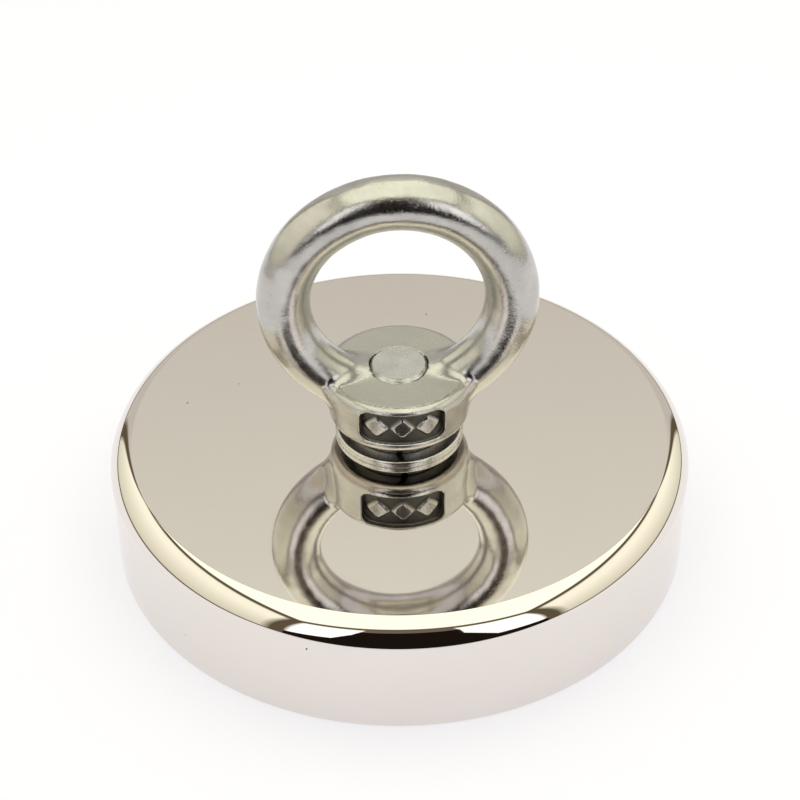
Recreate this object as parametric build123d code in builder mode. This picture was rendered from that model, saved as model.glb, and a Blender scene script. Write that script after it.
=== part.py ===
from build123d import *
import os

# Single-sided magnet fishing magnet: a round steel pot that holds a ring magnet, and a screwed-on
# lifting eye. The origin is the centre of the magnetic face, on the plane that the pot stands on.
# +Z points up through the eye, whose ring lies in the XZ plane, and the front is -Y. Every size is
# in millimetres.

# Pot: a steel cup, open at the magnetic face.
pot_radius = 45.0
pot_height = 18.8
pot_shoulder_width = 3.5  # of the bowed bevel between the flat top and the side
pot_shoulder_drop = 3.35
shoulder_bow_radius = 5.1
shoulder_edge = 0.8  # rounding where the bevel meets the top and the side
pot_foot_edge = 0.4  # rounding at the foot
pocket_radius = 38.0
pocket_depth = 10.4
pocket_bevel = 0.5
clearance_hole_radius = 5.25  # lets an M10 screw through

# Ring magnet, glued into the pocket and potted round its outside and round the bush in its middle.
magnet_outer_radius = 36.0
magnet_inner_radius = 14.0
magnet_edge = 0.4
bond_thickness = 0.3
potting_recess = 0.8  # the potting stands this far inside the magnetic face
bush_radius = 13.0
bush_edge = 0.3

# M10 countersunk screw with a hexagon socket. Its thread is a plain cylinder at the pitch radius.
screw_radius = 4.48
screw_recess = 0.5  # the head stands this far inside the magnetic face
screw_head_radius = 9.9
screw_head_rim = 0.4
countersink_clearance = 0.03
socket_across_flats = 6.0
socket_depth = 4.3
screw_end_above_pot = 12.6
screw_end_chamfer = 0.5

# Washers between the pot and the eye nut: a flat one, then a split spring lock washer.
flat_washer_radius = 9.9
flat_washer_hole_radius = 5.25
flat_washer_thickness = 1.1
flat_washer_edge = 0.35
lock_washer_radius = 7.8
lock_washer_hole_radius = 5.15
lock_washer_thickness = 2.3
lock_washer_edge = 0.2
split_width = 0.9
split_angle = 25.0

# Eye nut: a drafted round collar, slightly crowned, that grows into a round-bar ring.
nut_bore_radius = 4.53
collar_foot_radius = 10.7
collar_brow_radius = 11.65
collar_height = 8.65
collar_crown = 0.35  # rise from the rim of the top face to its middle
collar_foot_edge = 1.4
collar_brow_edge = 1.7
ring_radius = 16.95  # to the middle of the bar
bar_radius = 4.03
ring_centre_above_foot = 21.1
junction_fillet = 1.2

# Recessed panel on the front of the collar, with three plain raised lozenges.
panel_floor_radius = 10.25
panel_width = 12.7
panel_height = 5.8
panel_corner = 1.4
panel_foot = 1.9  # above the foot of the collar
lozenge_count = 3
lozenge_pitch = 3.9
lozenge_radius = 1.75
lozenge_rise = 0.45

# Heights above the magnetic face.
magnet_top = pocket_depth - bond_thickness
flat_washer_top = pot_height + flat_washer_thickness
collar_foot = flat_washer_top + lock_washer_thickness
collar_brow = collar_foot + collar_height
ring_centre = collar_foot + ring_centre_above_foot
panel_middle = collar_foot + panel_foot + panel_height / 2
screw_end = pot_height + screw_end_above_pot

os.makedirs("parts", exist_ok=True)

with BuildPart() as steel_pot:
    with BuildSketch(Plane.XZ) as pot_section:
        with BuildLine():
            top_rim = (pot_radius - pot_shoulder_width, pot_height)
            side_rim = (pot_radius, pot_height - pot_shoulder_drop)
            Line((0, pot_height), top_rim)
            RadiusArc(top_rim, side_rim, shoulder_bow_radius)
            Polyline(side_rim, (pot_radius, 0), (0, 0), (0, pot_height))
        make_face()
        top_corner = pot_section.vertices().sort_by(Axis.X)[2]
        side_corner = pot_section.vertices().sort_by(Axis.Y)[2]
        fillet([top_corner, side_corner], radius=shoulder_edge)
    revolve(axis=Axis.Z)
    fillet(steel_pot.faces().sort_by(Axis.Z)[0].edges(), radius=pot_foot_edge)
    with BuildSketch():
        Circle(pocket_radius)
    extrude(amount=pocket_depth, mode=Mode.SUBTRACT)
    pocket_mouth = steel_pot.faces().sort_by(Axis.Z)[0].edges().sort_by(SortBy.RADIUS)[0]
    chamfer(pocket_mouth, length=pocket_bevel)
    with BuildSketch(Plane.XY.offset(pocket_depth)):
        Circle(clearance_hole_radius)
    extrude(amount=pot_height - pocket_depth, mode=Mode.SUBTRACT)
steel_pot.part.label = "steel_pot"
export_step(steel_pot.part, "parts/steel_pot.step")

with BuildPart() as ring_magnet:
    with BuildSketch():
        Circle(magnet_outer_radius)
        Circle(magnet_inner_radius, mode=Mode.SUBTRACT)
    extrude(amount=magnet_top)
    chamfer(ring_magnet.faces().sort_by(Axis.Z)[0].edges(), length=magnet_edge)
ring_magnet.part.label = "ring_magnet"
export_step(ring_magnet.part, "parts/ring_magnet.step")

with BuildPart() as bond_layer:
    with BuildSketch(Plane.XY.offset(magnet_top)):
        Circle(magnet_outer_radius)
        Circle(magnet_inner_radius, mode=Mode.SUBTRACT)
    extrude(amount=bond_thickness)
bond_layer.part.label = "bond_layer"
export_step(bond_layer.part, "parts/bond_layer.step")

with BuildPart() as outer_potting:
    with BuildSketch(Plane.XY.offset(potting_recess)):
        Circle(pocket_radius)
        Circle(magnet_outer_radius, mode=Mode.SUBTRACT)
    extrude(amount=pocket_depth - potting_recess)
outer_potting.part.label = "outer_potting"
export_step(outer_potting.part, "parts/outer_potting.step")

with BuildPart() as inner_potting:
    with BuildSketch(Plane.XY.offset(potting_recess)):
        Circle(magnet_inner_radius)
        Circle(bush_radius, mode=Mode.SUBTRACT)
    extrude(amount=pocket_depth - potting_recess)
inner_potting.part.label = "inner_potting"
export_step(inner_potting.part, "parts/inner_potting.step")

# The countersink's mouth is wider than the screw's head by the depth that the head is sunk, at 90 degrees.
with BuildPart() as centre_bush:
    with BuildSketch():
        Circle(bush_radius)
    extrude(amount=pocket_depth)
    chamfer(centre_bush.faces().sort_by(Axis.Z)[0].edges(), length=bush_edge)
    with Locations(Plane.XY.rotated((180, 0, 0))):
        CounterSinkHole(
            radius=clearance_hole_radius,
            counter_sink_radius=screw_head_radius + screw_recess + screw_head_rim + countersink_clearance,
            depth=pocket_depth,
            counter_sink_angle=90,
        )
centre_bush.part.label = "centre_bush"
export_step(centre_bush.part, "parts/centre_bush.step")

with BuildPart() as countersunk_screw:
    with BuildSketch(Plane.XZ):
        with BuildLine():
            Polyline(
                (0, screw_recess),
                (screw_head_radius, screw_recess),
                (screw_head_radius, screw_recess + screw_head_rim),
                (screw_radius, screw_recess + screw_head_rim + screw_head_radius - screw_radius),
                (screw_radius, screw_end),
                (0, screw_end),
                close=True,
            )
        make_face()
    revolve(axis=Axis.Z)
    chamfer(countersunk_screw.faces().sort_by(Axis.Z)[-1].edges(), length=screw_end_chamfer)
    with BuildSketch(Plane.XY.offset(screw_recess)):
        RegularPolygon(radius=socket_across_flats / 2, side_count=6, major_radius=False)
    extrude(amount=socket_depth, mode=Mode.SUBTRACT)
countersunk_screw.part.label = "countersunk_screw"
export_step(countersunk_screw.part, "parts/countersunk_screw.step")

with BuildPart() as flat_washer:
    with BuildSketch(Plane.XY.offset(pot_height)):
        Circle(flat_washer_radius)
    extrude(amount=flat_washer_thickness)
    fillet(flat_washer.edges().filter_by(GeomType.CIRCLE), radius=flat_washer_edge)
    with BuildSketch(Plane.XY.offset(pot_height)):
        Circle(flat_washer_hole_radius)
    extrude(amount=flat_washer_thickness, mode=Mode.SUBTRACT)
flat_washer.part.label = "flat_washer"
export_step(flat_washer.part, "parts/flat_washer.step")

# One turn of square bar, cut through on the slant at the front.
with BuildPart() as lock_washer:
    with BuildSketch(Plane.XY.offset(flat_washer_top)):
        Circle(lock_washer_radius)
        Circle(lock_washer_hole_radius, mode=Mode.SUBTRACT)
    extrude(amount=lock_washer_thickness)
    chamfer(lock_washer.edges().filter_by(GeomType.CIRCLE), length=lock_washer_edge)
    with BuildSketch(Plane.XZ):
        with Locations((0, flat_washer_top + lock_washer_thickness / 2)):
            Rectangle(split_width, 2 * lock_washer_thickness, rotation=-split_angle)
    extrude(amount=2 * lock_washer_radius, mode=Mode.SUBTRACT)
lock_washer.part.label = "lock_washer"
export_step(lock_washer.part, "parts/lock_washer.step")

# What the recessed panel takes out of the collar: a rounded block in front of a round floor, less
# the lozenges.
with BuildPart() as lozenges:
    with BuildSketch(Plane.XZ):
        with Locations((0, panel_middle)):
            with GridLocations(lozenge_pitch, 0, lozenge_count, 1):
                RegularPolygon(radius=lozenge_radius, side_count=4)
    extrude(amount=2 * panel_floor_radius)
    with Locations((0, 0, panel_middle)):
        Cylinder(panel_floor_radius + lozenge_rise, panel_height, mode=Mode.INTERSECT)

with BuildPart() as panel_recess:
    with BuildSketch(Plane.XZ):
        with Locations((0, panel_middle)):
            RectangleRounded(panel_width, panel_height, panel_corner)
    extrude(amount=2 * panel_floor_radius)
    with Locations((0, 0, panel_middle)):
        Cylinder(panel_floor_radius, panel_height, mode=Mode.SUBTRACT)
    add(lozenges.part, mode=Mode.SUBTRACT)

with BuildPart() as eye_nut:
    with BuildSketch(Plane.XZ) as collar_section:
        with BuildLine():
            Polyline(
                (0, collar_foot),
                (collar_foot_radius, collar_foot),
                (collar_brow_radius, collar_brow),
                (0, collar_brow + collar_crown),
                close=True,
            )
        make_face()
        outer_corners = collar_section.vertices().sort_by(Axis.X)[-2:]
        fillet(outer_corners[1], radius=collar_brow_edge)
        fillet(outer_corners[0], radius=collar_foot_edge)
    revolve(axis=Axis.Z)
    with Locations(Plane((0, 0, ring_centre), x_dir=(1, 0, 0), z_dir=(0, -1, 0))):
        Torus(ring_radius, bar_radius)
    fillet(eye_nut.edges(Select.NEW), radius=junction_fillet)
    with BuildSketch(Plane.XY.offset(collar_foot)):
        Circle(nut_bore_radius)
    extrude(amount=collar_height + collar_crown, mode=Mode.SUBTRACT)
    add(panel_recess.part, mode=Mode.SUBTRACT)
eye_nut.part.label = "eye_nut"
export_step(eye_nut.part, "parts/eye_nut.step")
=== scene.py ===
import math

import bmesh
import bpy
import numpy as np
from mathutils import Matrix, Vector


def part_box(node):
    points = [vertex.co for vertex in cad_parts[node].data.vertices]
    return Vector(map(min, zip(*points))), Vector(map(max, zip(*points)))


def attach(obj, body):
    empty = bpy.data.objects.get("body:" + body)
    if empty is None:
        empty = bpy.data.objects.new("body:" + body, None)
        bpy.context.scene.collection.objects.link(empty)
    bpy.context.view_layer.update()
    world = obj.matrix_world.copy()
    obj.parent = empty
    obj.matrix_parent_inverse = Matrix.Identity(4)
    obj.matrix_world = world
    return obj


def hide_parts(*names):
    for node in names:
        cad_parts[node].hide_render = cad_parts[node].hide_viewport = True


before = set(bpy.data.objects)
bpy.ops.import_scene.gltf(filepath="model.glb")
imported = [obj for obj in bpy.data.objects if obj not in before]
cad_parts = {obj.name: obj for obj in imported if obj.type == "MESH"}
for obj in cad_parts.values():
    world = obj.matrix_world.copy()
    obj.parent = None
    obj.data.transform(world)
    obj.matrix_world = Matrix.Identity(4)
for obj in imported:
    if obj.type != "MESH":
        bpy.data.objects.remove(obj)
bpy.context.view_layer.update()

# The looks of a magnet fishing magnet: a mirror-bright nickel pot with a cast lifting eye screwed on its
# back. Shapes are worked out in millimetres in the CAD's frame and stored in metres. The ring of the eye
# lies in the XZ plane, the front is -Y and the magnetic face lies on the floor at z = 0.

MM = 0.001


# ---------------------------------------------------------------- sizes taken from the frame

def span(node):
    """Outer radius, lowest and highest height of a CAD node, in millimetres."""
    low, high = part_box(node)
    return high.x / MM, low.z / MM, high.z / MM


pot_radius, _, pot_top = span("steel_pot")
pocket_radius, potting_foot, pocket_top = span("outer_potting")
magnet_radius, _, magnet_top = span("ring_magnet")
magnet_hole_radius, _, _ = span("inner_potting")
bush_radius, _, bush_top = span("centre_bush")
head_radius, head_foot, screw_end = span("countersunk_screw")
washer_radius, washer_foot, washer_top = span("flat_washer")
lock_radius, lock_foot, lock_top = span("lock_washer")
eye_radius, collar_foot, eye_top = span("eye_nut")

# Sizes that a node's box doesn't show, the same as the CAD's.
SHOULDER_BOW = 5.1          # radius of the bow in the pot's shoulder
SHOULDER_EDGE = 0.8         # radius of the creases at both ends of it
SHOULDER_TURNS = (19.3, 54.2, 16.5)     # degrees, in the lower crease, the bow and the upper crease
FOOT_EDGE = 0.4
POCKET_BEVEL = 0.5
HOLE_RADIUS = 5.25          # clearance hole for the M10 screw
HEAD_RIM = 0.4
SOCKET_FLATS = 6.0
SOCKET_DEPTH = 4.3
LOCK_HOLE_RADIUS = 5.15
SPLIT_WIDTH = 0.9
SPLIT_SLANT = math.tan(math.radians(25))
BAR_RADIUS = 4.03
FOOT_RADIUS = 10.7          # collar, at its foot
BROW_RADIUS = 11.65         # collar, at its brow
BROW_HEIGHT = 8.65
CROWN = 0.35
BROW_EDGE = 1.7             # rounding of the collar's brow
COLLAR_FOOT_EDGE = 1.4
PANEL_FLOOR = 10.25         # radius of the floor of the collar's sunk panel
PANEL_SIZE = (12.7, 5.8)
PANEL_CORNER = 1.4
PANEL_MIDDLE = 4.8          # above the collar's foot
LOZENGE_PITCH = 3.9
LOZENGE_RADIUS = 1.75
LOZENGE_RISE = 0.45
LOZENGE_SOFTNESS = 0.3      # rounding of their corners
LOZENGE_SLOPE = 0.5         # width of their sides, seen from the front
PANEL_ROUNDING = 0.25       # where the panel's walls meet its floor
PANEL_LIP = 0.3             # rounding of the panel's outer edge
JUNCTION_FILLET = 1.3       # between the ring and the collar
UNDERSIDE_SHADE_DEPTH = 0.45      # depth of the band under the collar's foot that is darkened as painted shade

# M10 coarse thread. The CAD has plain cylinders at its pitch radius.
PITCH = 1.5
THREAD_MAJOR = 4.9
THREAD_DEPTH = 0.8
THREAD_PLAY = 0.06
TIP_RADIUS = 4.0            # faced end of the screw, inside its bevel
MOUTH_RADIUS = 4.5          # where the eye nut's thread comes out on top


# ---------------------------------------------------------------- mesh building

def new_piece(name, points, faces):
    """A mesh object from points in millimetres."""
    mesh = bpy.data.meshes.new(name)
    mesh.from_pydata((points * MM).tolist(), [], faces.tolist())
    mesh.shade_smooth()
    piece = bpy.data.objects.new(name, mesh)
    bpy.context.scene.collection.objects.link(piece)
    return piece


def grid_faces(rows, columns, wrap_rows=False, wrap_columns=True):
    """Quads between neighbouring points of a grid stored row by row."""
    i, j = np.meshgrid(
        np.arange(rows if wrap_rows else rows - 1),
        np.arange(columns if wrap_columns else columns - 1),
        indexing="ij",
    )
    up, across = (i + 1) % rows, (j + 1) % columns
    quads = [i * columns + j, i * columns + across, up * columns + across, up * columns + j]
    return np.stack(quads, -1).reshape(-1, 4)


def outline(corners, step=3.0):
    """Points and normals of a closed outline with rounded corners.

    corners are (radius, height, rounding), anticlockwise, the solid on the left. Each point comes with the
    normals of the stretch that leaves it, at its start and at its end; step is the arcs' pitch in degrees."""
    knots = []
    count = len(corners)
    for k, (r, z, rounding) in enumerate(corners):
        here = np.array([r, z])
        before = here - np.array(corners[k - 1][:2])
        after = np.array(corners[(k + 1) % count][:2]) - here
        before, after = before / np.linalg.norm(before), after / np.linalg.norm(after)
        cross = before[0] * after[1] - before[1] * after[0]
        turn = math.atan2(cross, before @ after)
        leaving = np.array([after[1], -after[0]])
        if rounding == 0:
            knots.append((here, leaving, leaving))
            continue
        steps = max(2, round(math.degrees(abs(turn)) / step))
        start = here - before * rounding * math.tan(abs(turn) / 2)
        side = math.copysign(1, turn)
        arriving = np.array([before[1], -before[0]])
        centre = start - side * arriving * rounding
        for s in range(steps):
            ends = []
            for angle in (turn * s / steps, turn * (s + 1) / steps):
                c, n = math.cos(angle), math.sin(angle)
                ends.append(np.array([c * arriving[0] - n * arriving[1], n * arriving[0] + c * arriving[1]]))
            knots.append((centre + side * ends[0] * rounding, ends[0], ends[1]))
        knots.append((centre + side * leaving * rounding, leaving, leaving))
    return knots


def lathe(name, corners, columns=240, step=3.0):
    """A ring-shaped piece: a closed outline turned about Z, with exact normals."""
    knots = outline(corners, step)
    angle = np.arange(columns) * 2 * math.pi / columns
    cos, sin = np.cos(angle), np.sin(angle)
    rows = len(knots)
    radius = np.array([k[0][0] for k in knots])[:, None]
    height = np.array([k[0][1] for k in knots])[:, None]
    points = np.stack([radius * cos, radius * sin, np.broadcast_to(height, (rows, columns))], -1)
    piece = new_piece(name, points.reshape(-1, 3), grid_faces(rows, columns, wrap_rows=True))
    corner_normals = []
    for end, shift in ((1, 0), (1, 1), (2, 1), (2, 0)):
        out = np.array([k[end][0] for k in knots])[:, None]
        up = np.array([k[end][1] for k in knots])[:, None]
        c, s = np.roll(cos, -shift), np.roll(sin, -shift)
        corner_normals.append(np.stack([out * c, out * s, np.broadcast_to(up, (rows, columns))], -1))
    piece.data.normals_split_custom_set(np.stack(corner_normals, 2).reshape(-1, 3).tolist())
    return piece


def crease(piece, degrees=32):
    """Merges doubled points and keeps edges sharper than this angle sharp."""
    build = bmesh.new()
    build.from_mesh(piece.data)
    bmesh.ops.remove_doubles(build, verts=build.verts, dist=0.002 * MM)
    build.to_mesh(piece.data)
    build.free()
    piece.data.shade_smooth()
    piece.data.set_sharp_from_angle(angle=math.radians(degrees))
    return piece


def put_values(piece, name, values):
    """Stores one number for each point, for the materials to read."""
    layer = piece.data.attributes.new(name, "FLOAT", "POINT")
    layer.data.foreach_set("value", np.asarray(values, np.float32))


def waves(points, size, seed):
    """Smooth unevenness between about -1 and 1, from a few sine waves of that size in random directions."""
    rng = np.random.default_rng(seed)
    total = np.zeros(points.shape[:-1])
    for _ in range(7):
        direction = rng.normal(size=3)
        direction *= 2 * math.pi / size / np.linalg.norm(direction) * rng.uniform(0.6, 1.5)
        total += np.sin(points @ direction + rng.uniform(0, 2 * math.pi))
    return total / 3.5


# ---------------------------------------------------------------- the pot and what it holds

def make_pot():
    """The steel cup. Its shoulder is a bow between two small creases, all arcs that flow into each other."""
    lower, bow, upper = [math.radians(turn) for turn in SHOULDER_TURNS]
    half_bow = SHOULDER_BOW * math.tan(bow / 2)
    first = half_bow + SHOULDER_EDGE * math.tan(lower / 2)
    second = half_bow + SHOULDER_EDGE * math.tan(upper / 2)
    bow_radius = pot_radius - first * math.sin(lower)
    bow_height = pot_top - second * math.sin(upper)
    return lathe("pot_shell", [
        (pocket_radius + POCKET_BEVEL, 0, 0.1),
        (pot_radius, 0, FOOT_EDGE),
        (pot_radius, bow_height - first * math.cos(lower), SHOULDER_EDGE),
        (bow_radius, bow_height, SHOULDER_BOW),
        (bow_radius - second * math.cos(upper), pot_top, SHOULDER_EDGE),
        (HOLE_RADIUS + 0.3, pot_top, 0),
        (HOLE_RADIUS, pot_top - 0.3, 0),
        (HOLE_RADIUS, pocket_top, 0),
        (pocket_radius, pocket_top, 0),
        (pocket_radius, POCKET_BEVEL, 0.1),
    ], columns=360, step=1.25)


def make_magnet():
    return lathe("magnet_ring", [
        (magnet_hole_radius, magnet_top, 0.2),
        (magnet_hole_radius, 0, 0.45),
        (magnet_radius, 0, 0.45),
        (magnet_radius, magnet_top, 0.2),
    ])


def make_potting(name, inner, outer, seed):
    """Resin between two walls, which creeps up both of them and is a little uneven in between."""
    columns, rows = 240, 14
    angle = np.arange(columns) * 2 * math.pi / columns
    across = np.linspace(0, 1, rows)
    creep = 0.35 * (np.exp(-across / 0.16) + np.exp((across - 1) / 0.16))
    radius = inner + (outer - inner) * across
    face = np.zeros((rows, columns, 3))
    face[..., 0] = radius[:, None] * np.cos(angle)
    face[..., 1] = radius[:, None] * np.sin(angle)
    face[..., 2] = (potting_foot + 0.12 - creep)[:, None]
    level = np.sin(across * math.pi)[:, None]
    face[..., 2] += 0.1 * waves(face, 9, seed) * level
    back = face[::-1][[0, -1]].copy()
    back[..., 2] = pocket_top
    points = np.concatenate([face, back])
    piece = new_piece(name, points.reshape(-1, 3), grid_faces(rows + 2, columns, wrap_rows=True))
    return crease(piece, 40)


def make_bush():
    mouth = head_radius + head_foot + HEAD_RIM + 0.03
    return lathe("bush", [
        (HOLE_RADIUS, bush_top, 0),
        (HOLE_RADIUS, mouth - HOLE_RADIUS, 0),
        (mouth, 0, 0.12),
        (bush_radius, 0, 0.3),
        (bush_radius, bush_top, 0),
    ])


def thread_radius(height, angle, major):
    """Radius of an M10 thread at a height and an angle about Z."""
    phase = height / PITCH - angle / (2 * math.pi)
    from_crest = np.abs(phase - np.round(phase))
    fall = np.clip((from_crest - 1 / 16) / (1 / 2 - 1 / 16 - 1 / 8), 0, 1)
    return major - THREAD_DEPTH * fall


def make_screw():
    """Countersunk screw: hexagon socket in its head below, thread, and a faced end with a bevel."""
    columns = 144
    angle = np.arange(columns) * 2 * math.pi / columns
    ring = np.ones(columns)
    side = math.radians(60)
    hexagon = SOCKET_FLATS / 2 / np.cos((angle + side / 2) % side - side / 2)
    socket_floor = head_foot + SOCKET_DEPTH
    neck = head_foot + HEAD_RIM + head_radius - THREAD_MAJOR
    rows = [
        (0 * ring, socket_floor + 0.9),
        (0.97 * hexagon.min() * ring, socket_floor + 0.02),
        (hexagon, socket_floor),
        (hexagon, head_foot + 0.25),
        (hexagon + 0.25, head_foot),
        (head_radius - 0.15 * ring, head_foot),
        (head_radius * ring, head_foot + 0.15),
        (head_radius * ring, head_foot + HEAD_RIM),
        (THREAD_MAJOR * ring, neck),
    ]
    fade = 2.0
    for height in np.arange(neck + 0.05, screw_end, 0.0625):
        thread = thread_radius(height, angle, THREAD_MAJOR)
        run_out = np.clip((height - neck) / fade, 0, 1)
        thread = THREAD_MAJOR + (thread - THREAD_MAJOR) * run_out
        bevel = TIP_RADIUS + screw_end - height
        rows.append((np.minimum(thread, bevel), height))
    for share, dish in ((1, 0), (0.97, 0), (0.5, 0.02), (0.01, 0.03), (0, 0.03)):
        rows.append((share * TIP_RADIUS * ring, screw_end - dish))
    points = np.array([
        np.stack([radius * np.cos(angle), radius * np.sin(angle), np.full(columns, height)], -1)
        for radius, height in rows
    ])
    piece = new_piece("hex_screw", points.reshape(-1, 3), grid_faces(len(rows), columns))
    return crease(piece, 30)


# ---------------------------------------------------------------- washers

def make_flat_washer():
    return lathe("plain_washer", [
        (HOLE_RADIUS, washer_top, 0.1),
        (HOLE_RADIUS, washer_foot, 0.25),
        (washer_radius, washer_foot, 0.15),
        (washer_radius, washer_top, 0.4),
    ], step=9)


def make_lock_washer():
    """Split spring washer: one turn of square bar, cut through on the slant at the front."""
    edge, turns = 0.28, 220
    middle = (lock_foot + lock_top) / 2
    section = outline([
        (LOCK_HOLE_RADIUS, lock_top, edge),
        (LOCK_HOLE_RADIUS, lock_foot, edge),
        (lock_radius - 0.05, lock_foot, edge),
        (lock_radius, lock_top, edge),
    ], step=15)
    radius = np.array([k[0][0] for k in section])
    height = np.array([k[0][1] for k in section])
    lean = (height - middle) * SPLIT_SLANT
    first = -math.pi / 2 + (lean + SPLIT_WIDTH / 2) / radius
    last = 1.5 * math.pi + (lean - SPLIT_WIDTH / 2) / radius
    points = []
    for s in np.linspace(0, 1, turns):
        angle = first + (last - first) * s
        points.append(np.stack([radius * np.cos(angle), radius * np.sin(angle), height], -1))
    points = np.concatenate(points)
    count = len(section)
    sides = grid_faces(turns, count)[:, ::-1].tolist()
    caps = [list(range(count)), list(range(len(points) - 1, len(points) - 1 - count, -1))]
    piece = new_piece("spring_washer", points, np.array(sides + caps, dtype=object))
    return crease(piece, 40)


# ---------------------------------------------------------------- the eye nut

def round_max(a, b, radius):
    """Where two solids overlap, with the edge between them rounded."""
    corner = np.hypot(np.maximum(a + radius, 0), np.maximum(b + radius, 0))
    return np.minimum(np.maximum(a, b), -radius) + corner


def round_min(a, b, radius):
    """Two solids joined, with the corner between them filled in to a radius."""
    return -round_max(-a, -b, radius)


def lozenge_row(x, z):
    """Distance to the nearest of three lozenges in a row."""
    near = x - LOZENGE_PITCH * np.clip(np.round(x / LOZENGE_PITCH), -1, 1)
    across = np.hypot(near, LOZENGE_SOFTNESS)
    along = np.hypot(z - collar_foot - PANEL_MIDDLE, LOZENGE_SOFTNESS)
    return (across + along - LOZENGE_RADIUS - LOZENGE_SOFTNESS) / math.sqrt(2)


def panel_outline(x, z):
    """Distance to the rounded outline of the panel, less than 0 inside."""
    wide = np.abs(x) - PANEL_SIZE[0] / 2 + PANEL_CORNER
    high = np.abs(z - collar_foot - PANEL_MIDDLE) - PANEL_SIZE[1] / 2 + PANEL_CORNER
    outside = np.hypot(np.maximum(wide, 0), np.maximum(high, 0))
    return outside + np.minimum(np.maximum(wide, high), 0) - PANEL_CORNER


def eye_field(p):
    """Distance to the eye nut's surface, in millimetres, less than 0 inside."""
    x, y, z = p[..., 0], p[..., 1], p[..., 2]
    ring_radius = eye_radius - BAR_RADIUS
    ring = np.hypot(np.hypot(x, z - (eye_top - eye_radius)) - ring_radius, y) - BAR_RADIUS
    out = np.hypot(x, y)
    draft = (BROW_RADIUS - FOOT_RADIUS) / BROW_HEIGHT
    side = (out - FOOT_RADIUS - draft * (z - collar_foot)) / math.hypot(1, draft)
    top = z - collar_foot - BROW_HEIGHT - CROWN * (1 - out / BROW_RADIUS)
    collar = round_max(round_max(side, top, BROW_EDGE), collar_foot - z, COLLAR_FOOT_EDGE)
    floor = PANEL_FLOOR + LOZENGE_RISE * np.clip(0.5 - lozenge_row(x, z) / LOZENGE_SLOPE, 0, 1) - out
    panel = round_max(panel_outline(x, z), np.maximum(floor, y), PANEL_ROUNDING)
    collar = round_max(collar, -panel, PANEL_LIP)
    body = round_min(collar, ring, JUNCTION_FILLET)
    body += 0.035 * waves(p, 9, 5) + 0.012 * waves(p, 3.1, 8)
    depth = collar_foot + BROW_HEIGHT + CROWN * (1 - MOUTH_RADIUS / BROW_RADIUS) - z
    bore = out - thread_radius(z, np.arctan2(y, x), THREAD_MAJOR) - THREAD_PLAY
    bore = np.maximum(bore * 0.8, (out - MOUTH_RADIUS - depth) * 0.7)
    mouth = (out - MOUTH_RADIUS + np.minimum(np.maximum(depth, 0), z - collar_foot)) * 0.7
    bore = np.maximum(np.minimum(bore, mouth), -depth - 0.5)
    return np.maximum(body, -bore)


def field_normals(field, points, reach=0.02):
    """Unit gradient of a distance field."""
    slopes = []
    for axis in range(3):
        shift = np.zeros(3)
        shift[axis] = reach
        slopes.append(field(points + shift) - field(points - shift))
    slopes = np.stack(slopes, -1)
    return slopes / np.maximum(np.linalg.norm(slopes, axis=-1, keepdims=True), 1e-9)


def surface_of(field, low, high, cell):
    """Points and quads on the surface of a distance field, one point in each cell that the surface crosses."""
    axes = [np.arange(a, b + cell, cell) for a, b in zip(low, high)]
    values = field(np.stack(np.meshgrid(*axes, indexing="ij"), -1))
    inside = values < 0
    size = np.array(values.shape) - 1
    total, hits = np.zeros((*size, 3)), np.zeros(size)
    for axis in range(3):
        u, v = [a for a in range(3) if a != axis]
        for du in (0, 1):
            for dv in (0, 1):
                at = [None] * 3
                at[u], at[v] = slice(du, du + size[u]), slice(dv, dv + size[v])
                at[axis] = slice(0, size[axis])
                near = tuple(at)
                at[axis] = slice(1, size[axis] + 1)
                far = tuple(at)
                crossed = inside[near] != inside[far]
                a, b = values[near], values[far]
                part = np.where(crossed, a / np.where(crossed, a - b, 1), 0)
                hits += crossed
                total[..., axis] += part
                total[..., u] += crossed * du
                total[..., v] += crossed * dv
    used = hits > 0
    number = np.full(size, -1)
    number[used] = np.arange(used.sum())
    place = np.argwhere(used) + total[used] / hits[used][:, None]
    points = np.array(low) + place * cell
    faces = []
    for axis in range(3):
        u, v = (axis + 1) % 3, (axis + 2) % 3
        inner = [slice(1, -1)] * 3
        inner[axis] = slice(0, -1)
        ahead = list(inner)
        ahead[axis] = slice(1, None)
        here, there = inside[tuple(inner)], inside[tuple(ahead)]
        for way in (1, -1):
            crossing = np.argwhere((here & ~there) if way == 1 else (~here & there))
            crossing[:, [u, v]] += 1
            ring = []
            for du, dv in ((0, 0), (1, 0), (1, 1), (0, 1))[::way]:
                cell_at = crossing.copy()
                cell_at[:, u] -= 1 - du
                cell_at[:, v] -= 1 - dv
                ring.append(number[tuple(cell_at.T)])
            faces.append(np.stack(ring, -1))
    return points, np.concatenate(faces)


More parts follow.
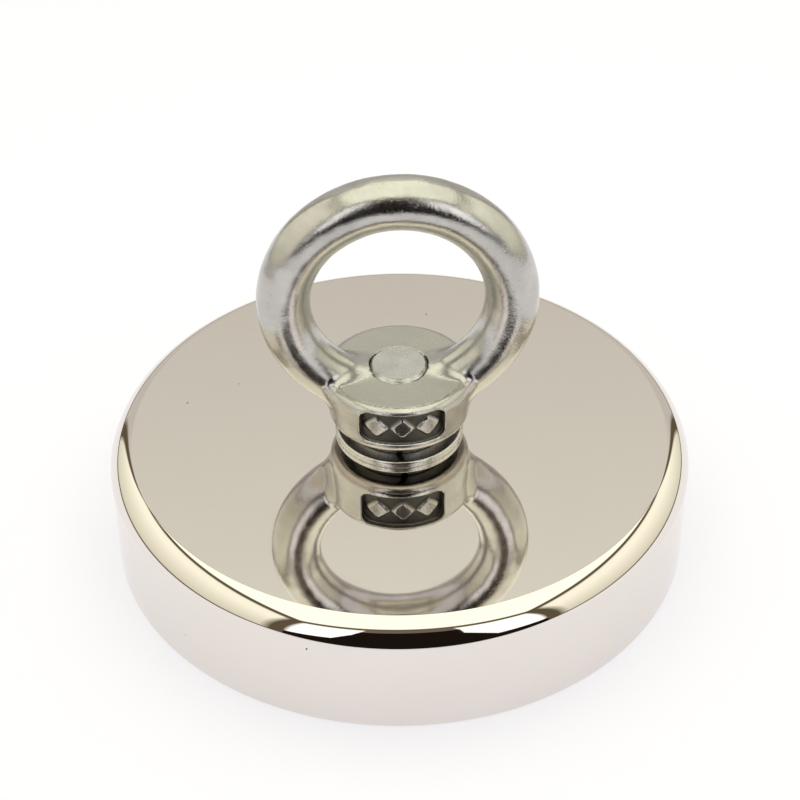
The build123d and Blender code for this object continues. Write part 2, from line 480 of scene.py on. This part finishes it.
def make_eye():
    """Cast eye nut, and numbers for its material: ground top, sunk panel, and painted shade in the corners and
    under the collar's foot.
    """
    cell = 0.25
    low = np.array([-eye_radius, -BROW_RADIUS, collar_foot]) - 2 * cell
    high = np.array([eye_radius, BROW_RADIUS, eye_top]) + 2 * cell
    points, faces = surface_of(eye_field, low, high, cell)
    for _ in range(4):
        normals = field_normals(eye_field, points)
        points = points - normals * np.clip(eye_field(points), -0.1, 0.1)[:, None]
    piece = new_piece("cast_eye", points, faces)
    normals = field_normals(eye_field, points)
    piece.data.normals_split_custom_set_from_vertices(normals.tolist())
    x, y, z = points.T
    out = np.hypot(x, y)
    brow = collar_foot + BROW_HEIGHT
    on_top = np.clip((z - brow + 0.15) / 0.12, 0, 1) * np.clip((normals[:, 2] - 0.97) / 0.02, 0, 1)
    put_values(piece, "ground", on_top)
    sunk = np.clip(0.5 - (out - PANEL_FLOOR - 0.25) / 0.2, 0, 1) * (panel_outline(x, z) < 0.1) * (y < 0)
    put_values(piece, "panel", sunk)
    # Painted shade: points that have other surface close in front of them (corners, the ring's junction, the
    # panel's walls, the thread's mouth), and a band on the underside of the collar's foot.
    probe = 0.8
    closed = np.clip(1 - eye_field(points + probe * normals) / probe, 0, 1)
    # Painted shade on the downward-facing foot of the collar.
    under = np.clip((collar_foot + UNDERSIDE_SHADE_DEPTH - z) / 0.35, 0, 1) * np.clip(-normals[:, 2] * 2, 0, 1)
    closed = np.maximum(closed, under)
    put_values(piece, "corner", closed)
    return piece


# ---------------------------------------------------------------- materials

class Finish:
    """A metal or resin material, and short ways to add the procedural detail that it is made of."""

    def __init__(self, name, colour, roughness, metallic=1.0):
        self.material = bpy.data.materials.new(name)
        self.material.use_nodes = True
        self.tree = self.material.node_tree
        self.shader = self.tree.nodes["Principled BSDF"]
        self.shader.inputs["Base Color"].default_value = (*colour, 1)
        self.shader.inputs["Roughness"].default_value = roughness
        self.shader.inputs["Metallic"].default_value = metallic
        self.place = self.tree.nodes.new("ShaderNodeTexCoord").outputs["Object"]

    def node(self, kind, inputs, **settings):
        made = self.tree.nodes.new(kind)
        for key, value in settings.items():
            setattr(made, key, value)
        for key, value in inputs.items():
            if isinstance(value, bpy.types.NodeSocket):
                self.tree.links.new(value, made.inputs[key])
            else:
                made.inputs[key].default_value = value
        return made

    def stretched(self, x, y, z):
        return self.node("ShaderNodeMapping", {"Vector": self.place, "Scale": (x, y, z)}).outputs[0]

    def noise(self, size, detail=3.0, roughness=0.55, vector=None):
        """Noise whose features are about size millimetres across."""
        inputs = {"Vector": vector or self.place, "Scale": 1 / (size * MM)}
        inputs.update({"Detail": detail, "Roughness": roughness})
        return self.node("ShaderNodeTexNoise", inputs).outputs["Fac"]

    def spots(self, spacing, radius):
        """1 inside small round spots, one to each cell of the spacing, in millimetres, with a soft rim."""
        cells = self.node("ShaderNodeTexVoronoi", {"Vector": self.place, "Scale": 1 / (spacing * MM)})
        return self.level(cells.outputs["Distance"], radius / spacing, radius / spacing * 0.6)

    def rings(self, size):
        """Turned grooves about Z, size millimetres apart."""
        inputs = {"Vector": self.place, "Scale": 1 / (size * MM) / 6.2832, "Distortion": 0.6, "Detail": 2.0}
        settings = {"wave_type": "RINGS", "rings_direction": "Z", "wave_profile": "SIN"}
        return self.node("ShaderNodeTexWave", inputs, **settings).outputs["Fac"]

    def value(self, name):
        return self.node("ShaderNodeAttribute", {}, attribute_name=name).outputs["Fac"]

    def level(self, value, low, high, to_low=0.0, to_high=1.0):
        inputs = {0: value, 1: low, 2: high, 3: to_low, 4: to_high}
        return self.node("ShaderNodeMapRange", inputs).outputs[0]

    def sum(self, operation, a, b):
        return self.node("ShaderNodeMath", {0: a, 1: b}, operation=operation).outputs[0]

    def blend(self, amount, a, b):
        made = self.node("ShaderNodeMix", {"Factor": amount}, data_type="RGBA")
        for socket, value in ((made.inputs[6], a), (made.inputs[7], b)):
            if isinstance(value, bpy.types.NodeSocket):
                self.tree.links.new(value, socket)
            else:
                socket.default_value = (*value, 1)
        return made.outputs[2]

    def bump(self, height, depth, after=None):
        """Relief of a height from 0 to 1, depth millimetres deep."""
        inputs = {"Height": height, "Distance": depth * MM, "Strength": 1.0}
        if after is not None:
            inputs["Normal"] = after
        return self.node("ShaderNodeBump", inputs).outputs[0]

    def set(self, **sockets):
        for name, value in sockets.items():
            self.tree.links.new(value, self.shader.inputs[name.replace("_", " ")])
        return self.material


def nickel_plating():
    """Mirror-bright nickel on turned and polished steel: faint waviness, hairline scratches and a few pits."""
    f = Finish("nickel_plating", (0.80, 0.752, 0.715), 0.03)
    pits = f.spots(9.0, 0.2)
    haze = f.level(f.noise(14, 4), 0.45, 0.75)
    lines = f.level(f.noise(0.35, 2, vector=f.stretched(1, 0.03, 1)), 0.6, 0.8)
    colour = f.blend(f.level(haze, 0, 1, 0, 0.35), (0.80, 0.752, 0.715), (0.77, 0.716, 0.675))
    colour = f.blend(pits, colour, (0.1, 0.08, 0.06))
    rough = f.sum("ADD", f.level(haze, 0, 1, 0.025, 0.05), f.level(lines, 0, 1, 0, 0.03))
    rough = f.sum("MAXIMUM", rough, f.level(pits, 0, 1, 0, 0.6))
    wavy = f.bump(f.noise(7, 2), 0.003)
    relief = f.bump(pits, -0.05, wavy)
    return f.set(Base_Color=colour, Roughness=rough, Normal=relief)


def cast_stainless():
    """Tumbled stainless casting: satin with a fine grain, ground dull on top, dark and rough in the panel, with
    painted shade in the corners and under the collar's foot.
    """
    f = Finish("cast_stainless", (0.60, 0.58, 0.555), 0.19)
    ground, panel, corner = f.value("ground"), f.value("panel"), f.value("corner")
    grain = f.noise(0.28, 3)
    blotch = f.noise(5, 4)
    colour = f.blend(f.level(blotch, 0.35, 0.7), (0.57, 0.553, 0.532), (0.47, 0.455, 0.436))
    colour = f.blend(ground, colour, (0.52, 0.505, 0.48))
    colour = f.blend(f.level(panel, 0, 1, 0, 0.95), colour, (0.085, 0.08, 0.07))
    # Painted shade: darkens the corners and the underside of the collar's foot.
    colour = f.blend(f.level(corner, 0.35, 1.0, 0, 0.8), colour, (0.12, 0.11, 0.1))
    rough = f.level(grain, 0.3, 0.7, 0.13, 0.22)
    rough = f.sum("MAXIMUM", rough, f.level(ground, 0, 1, 0, 0.42))
    rough = f.sum("MAXIMUM", rough, f.level(panel, 0, 1, 0, 0.42))
    relief = f.bump(grain, 0.026)
    pores = f.spots(0.9, 0.1)
    relief = f.bump(pores, -0.04, relief)
    relief = f.bump(f.sum("MULTIPLY", f.noise(0.42, 3), ground), 0.085, relief)
    relief = f.bump(f.sum("MULTIPLY", f.noise(0.3, 3), panel), 0.06, relief)
    return f.set(Base_Color=colour, Roughness=rough, Normal=relief)


def magnet_plating():
    """Nickel-plated sintered magnet: bright, faintly grained, with scuffs from steel."""
    f = Finish("magnet_plating", (0.68, 0.67, 0.65), 0.22)
    scuffs = f.level(f.noise(0.5, 3, vector=f.stretched(0.06, 1, 1)), 0.58, 0.75)
    blotch = f.noise(11, 4)
    colour = f.blend(f.level(blotch, 0.3, 0.7), (0.70, 0.69, 0.67), (0.62, 0.605, 0.58))
    rough = f.sum("ADD", f.level(blotch, 0.3, 0.7, 0.16, 0.28), f.level(scuffs, 0, 1, 0, 0.2))
    relief = f.bump(f.noise(0.6, 3), 0.008)
    relief = f.bump(scuffs, -0.01, relief)
    return f.set(Base_Color=colour, Roughness=rough, Normal=relief)


def potting_resin():
    """Poured black epoxy: glossy, with a skin, dust and a few pinholes."""
    f = Finish("potting_resin", (0.03, 0.03, 0.034), 0.18, metallic=0.0)
    dust = f.level(f.noise(2.5, 6, 0.7), 0.5, 0.8)
    holes = f.spots(2.6, 0.14)
    colour = f.blend(f.level(dust, 0, 1, 0, 0.3), (0.022, 0.022, 0.026), (0.15, 0.14, 0.125))
    rough = f.level(dust, 0, 1, 0.13, 0.45)
    relief = f.bump(f.noise(3.5, 2), 0.08)
    relief = f.bump(holes, -0.12, relief)
    return f.set(Base_Color=colour, Roughness=rough, Normal=relief)


def turned_steel(name, colour, groove, roughness):
    """Turned steel: fine rings about the axis over slight blotches."""
    f = Finish(name, colour, roughness)
    blotch = f.noise(4, 4)
    worn = tuple(0.82 * c for c in colour)
    shade = f.blend(f.level(blotch, 0.35, 0.7), colour, worn)
    rings = f.rings(groove)
    rough = f.level(f.noise(0.4, 3), 0.3, 0.7, roughness * 0.8, roughness * 1.35)
    relief = f.bump(rings, 0.004)
    relief = f.bump(f.noise(0.25, 2), 0.006, relief)
    return f.set(Base_Color=shade, Roughness=rough, Normal=relief)


def pressed_steel(name, colour, roughness, depth):
    """Stamped or rolled steel with a tumbled surface: speckled, a little pitted."""
    f = Finish(name, colour, roughness)
    speckle = f.noise(0.35, 4, 0.65)
    worn = tuple(0.6 * c for c in colour)
    shade = f.blend(f.level(speckle, 0.45, 0.75), colour, worn)
    rough = f.level(f.noise(1.4, 4), 0.3, 0.7, roughness * 0.75, roughness * 1.4)
    relief = f.bump(speckle, depth)
    relief = f.bump(f.spots(1.2, 0.1), -0.03, relief)
    return f.set(Base_Color=shade, Roughness=rough, Normal=relief)


def adhesive():
    """Hardened two-part adhesive, cloudy and slightly rough."""
    f = Finish("adhesive", (0.55, 0.52, 0.42), 0.5, metallic=0.0)
    cloud = f.noise(3, 5)
    colour = f.blend(f.level(cloud, 0.35, 0.65), (0.58, 0.55, 0.45), (0.47, 0.44, 0.34))
    rough = f.level(cloud, 0.3, 0.7, 0.4, 0.6)
    return f.set(Base_Color=colour, Roughness=rough, Normal=f.bump(f.noise(0.8, 3), 0.05))


# ---------------------------------------------------------------- put the pieces together

PIECES = [
    # piece, CAD node that it stands for, body, material slot, material
    (make_pot(), "steel_pot", "base", "nickel_plating", nickel_plating()),
    (make_magnet(), "ring_magnet", "base", "magnet_plating", magnet_plating()),
    (make_potting("potting_outer", magnet_radius, pocket_radius, 3),
     "outer_potting", "base", "potting_resin", potting_resin()),
    (make_potting("potting_inner", bush_radius, magnet_hole_radius, 4),
     "inner_potting", "base", "potting_resin", potting_resin()),
    (make_bush(), "centre_bush", "base", "bush_steel",
     turned_steel("bush_steel", (0.62, 0.61, 0.60), 0.22, 0.26)),
    (make_screw(), "countersunk_screw", "base", "screw_steel",
     turned_steel("screw_steel", (0.70, 0.69, 0.68), 0.16, 0.24)),
    (make_flat_washer(), "flat_washer", "base", "washer_steel",
     pressed_steel("washer_steel", (0.66, 0.65, 0.63), 0.22, 0.006)),
    (make_lock_washer(), "lock_washer", "washer", "spring_steel",
     pressed_steel("spring_steel", (0.32, 0.31, 0.3), 0.32, 0.01)),
    (make_eye(), "eye_nut", "eye", "cast_stainless", cast_stainless()),
]
for piece, node, body, slot, material in PIECES:
    piece.data.materials.append(material)
    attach(piece, body)
    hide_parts(node)

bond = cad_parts["bond_layer"]
bond.data.materials.clear()
bond.data.materials.append(adhesive())


# ---------------------------------------------------------------- floor, tent and camera

TENT_LEFT, TENT_RIGHT = -285, 335
TENT_FRONT, TENT_BACK = -308, 330
TENT_TOP = 412
ROOM_STANDOFF = 3           # of the dark room's panels, inside the front wall
ROOM_MIDDLE = 300           # height where the room's black turns brown
FLOOR_REACH = 4000
FLOOR_HOLE = 44.4           # inside the rounded edge of the pot's foot

WIDE_SEAM, SEAM, NARROW_SEAM, FOOT_SEAM = 60, 34, 22, 22

SEAM_COLOUR = (0.13, 0.10, 0.06)
CREAM = (1.24, 1.22, 1.0)
LOW_CREAM = (0.80, 0.77, 0.62)
BRIGHT = (1.5, 1.5, 1.22)
BLACK = (0.012, 0.008, 0.006)
BROWN = (0.2, 0.15, 0.12)


def new_material(name):
    material = bpy.data.materials.new(name)
    material.use_nodes = True
    return material, material.node_tree


def cloth(name, low_colour, high_colour, seams, change=(180, 380)):
    """Glowing tent cloth, from one colour to another between two heights, which darkens to its seams.

    seams are (axis, place, width) and change is the two heights, in millimetres."""
    f = Finish(name, low_colour, 1.0, metallic=0.0)
    axes = f.node("ShaderNodeSeparateXYZ", {0: f.place}).outputs
    colour = f.blend(f.level(axes[2], change[0] * MM, change[1] * MM), low_colour, high_colour)
    clear = 1.0
    for axis, place, width in seams:
        away = f.sum("ABSOLUTE", f.sum("SUBTRACT", axes["XYZ".index(axis)], place * MM), 0.0)
        clear = f.sum("MULTIPLY", clear, f.level(away, 0.45 * width * MM, width * MM))
    colour = f.blend(clear, SEAM_COLOUR, colour)
    lamp = f.node("ShaderNodeEmission", {"Color": colour})
    f.tree.links.new(lamp.outputs[0], f.tree.nodes["Material Output"].inputs[0])
    f.tree.nodes.remove(f.shader)
    return f.material


def floor_material():
    """White paper, part of it shining by itself, so that shadows on it stay faint."""
    material, tree = new_material("white_paper")
    shader = tree.nodes["Principled BSDF"]
    shader.inputs["Base Color"].default_value = (0.485, 0.49, 0.545, 1)
    shader.inputs["Roughness"].default_value = 0.9
    shader.inputs["Specular IOR Level"].default_value = 0.1
    shader.inputs["Emission Color"].default_value = (1.0, 0.985, 1.03, 1)
    shader.inputs["Emission Strength"].default_value = 0.52
    return material


def panel(name, corners, material):
    """A flat stage panel from its corners in millimetres, which the camera doesn't see."""
    mesh = bpy.data.meshes.new(name)
    mesh.from_pydata([[c * MM for c in corner] for corner in corners], [], [list(range(len(corners)))])
    mesh.materials.append(material)
    sheet = bpy.data.objects.new(name, mesh)
    bpy.context.scene.collection.objects.link(sheet)
    sheet.visible_camera = False


def make_tent():
    """A light tent, open to a dark room at the front, as its reflections on the pot's shoulder show."""
    top, front, back = ("Z", TENT_TOP, WIDE_SEAM), ("Y", TENT_FRONT, WIDE_SEAM), ("Y", TENT_BACK, SEAM)
    foot = ("Z", 0, FOOT_SEAM)
    for name, x in (("tent_left", TENT_LEFT), ("tent_right", TENT_RIGHT)):
        corners = [(x, TENT_FRONT, 0), (x, TENT_BACK, 0), (x, TENT_BACK, TENT_TOP), (x, TENT_FRONT, TENT_TOP)]
        panel(name, corners, cloth(name, LOW_CREAM, CREAM, [top, front, back, foot], (0, 250)))
    ends = [("X", TENT_LEFT, SEAM), ("X", TENT_RIGHT, SEAM)]
    back_top = ("Z", TENT_TOP, NARROW_SEAM)
    walls = (
        ("tent_back", TENT_BACK, (0.64, 0.61, 0.55), (0.83, 0.82, 0.72), [back_top, foot, *ends]),
        ("tent_front", TENT_FRONT, (1.5, 1.5, 1.5), (1.5, 1.5, 1.4), [top, foot, *ends]),
    )
    for name, y, low, high, seams in walls:
        corners = [(TENT_LEFT, y, 0), (TENT_RIGHT, y, 0), (TENT_RIGHT, y, TENT_TOP), (TENT_LEFT, y, TENT_TOP)]
        panel(name, corners, cloth(name, low, high, seams))
    rims = [("X", TENT_LEFT, 30), ("X", TENT_RIGHT, 30), ("Y", TENT_FRONT, 42), ("Y", TENT_BACK, 30)]
    front_corners = [(TENT_LEFT, TENT_FRONT), (TENT_RIGHT, TENT_FRONT)]
    corners = front_corners + [(TENT_RIGHT, TENT_BACK), (TENT_LEFT, TENT_BACK)]
    panel("tent_top", [(x, y, TENT_TOP) for x, y in corners], cloth("tent_top", BRIGHT, BRIGHT, rims))
    make_room()


def make_room():
    """The dark room behind the tent's opening: black below, brown above."""
    y = TENT_FRONT + ROOM_STANDOFF
    shade = [(-265, 0), (315, 0), (315, 62), (165, 70), (105, 200), (108, ROOM_MIDDLE), (-100, ROOM_MIDDLE)]
    shade += [(-110, 215), (-144, 106), (-265, 62)]
    panel("dark_room", [(x, y, z) for x, z in shade], cloth("dark_room", BLACK, BLACK, []))
    room_top = TENT_TOP - 20
    shade = [(-100, ROOM_MIDDLE), (108, ROOM_MIDDLE), (98, room_top), (-90, room_top)]
    panel("brown_room", [(x, y, z) for x, z in shade], cloth("brown_room", BROWN, BROWN, []))


def make_floor():
    """A round floor, open under the pot, so that the magnetic face can be looked at from below."""
    columns = 144
    angle = np.arange(columns) * 2 * math.pi / columns
    rows = [(radius * np.cos(angle), radius * np.sin(angle), 0 * angle) for radius in (FLOOR_REACH, FLOOR_HOLE)]
    points = np.array([np.stack(row, -1) for row in rows]).reshape(-1, 3)
    floor = new_piece("floor", points, grid_faces(2, columns))
    floor.data.materials.append(floor_material())


def make_world():
    world = bpy.data.worlds.new("studio")
    world.use_nodes = True
    world.node_tree.nodes["Background"].inputs["Color"].default_value = (0.97, 0.97, 1.0, 1)
    world.node_tree.nodes["Background"].inputs["Strength"].default_value = 1.0
    bpy.context.scene.world = world
    bpy.context.scene.view_settings.view_transform = "Standard"


def make_camera():
    """The camera looks down at the magnet from 38.5 degrees, 2.7 degrees round from square to the ring."""
    elevation, azimuth, roll = math.radians(38.486), math.radians(-2.694), math.radians(-0.533)
    distance, aim_height = 303.586, 24.223      # to the point on the axis that the camera looks at
    back = Vector((0, -math.cos(elevation), math.sin(elevation)))
    right = Vector((1, 0, 0))
    up = Vector((0, math.sin(elevation), math.cos(elevation)))
    tilted_right = right * math.cos(roll) + up * math.sin(roll)
    tilted_up = up * math.cos(roll) - right * math.sin(roll)
    turn = Matrix.Rotation(azimuth, 4, "Z")
    axes = Matrix((tilted_right, tilted_up, back)).transposed().to_4x4()
    data = bpy.data.cameras.new("camera")
    data.lens = 88.75
    data.shift_x = 0.00125
    camera = bpy.data.objects.new("camera", data)
    bpy.context.scene.collection.objects.link(camera)
    place = (back * distance + Vector((0, 0, aim_height))) * MM
    camera.matrix_world = turn @ Matrix.Translation(place) @ axes
    data.clip_start = 0.01
    bpy.context.scene.camera = camera


make_tent()
make_floor()
make_world()
make_camera()
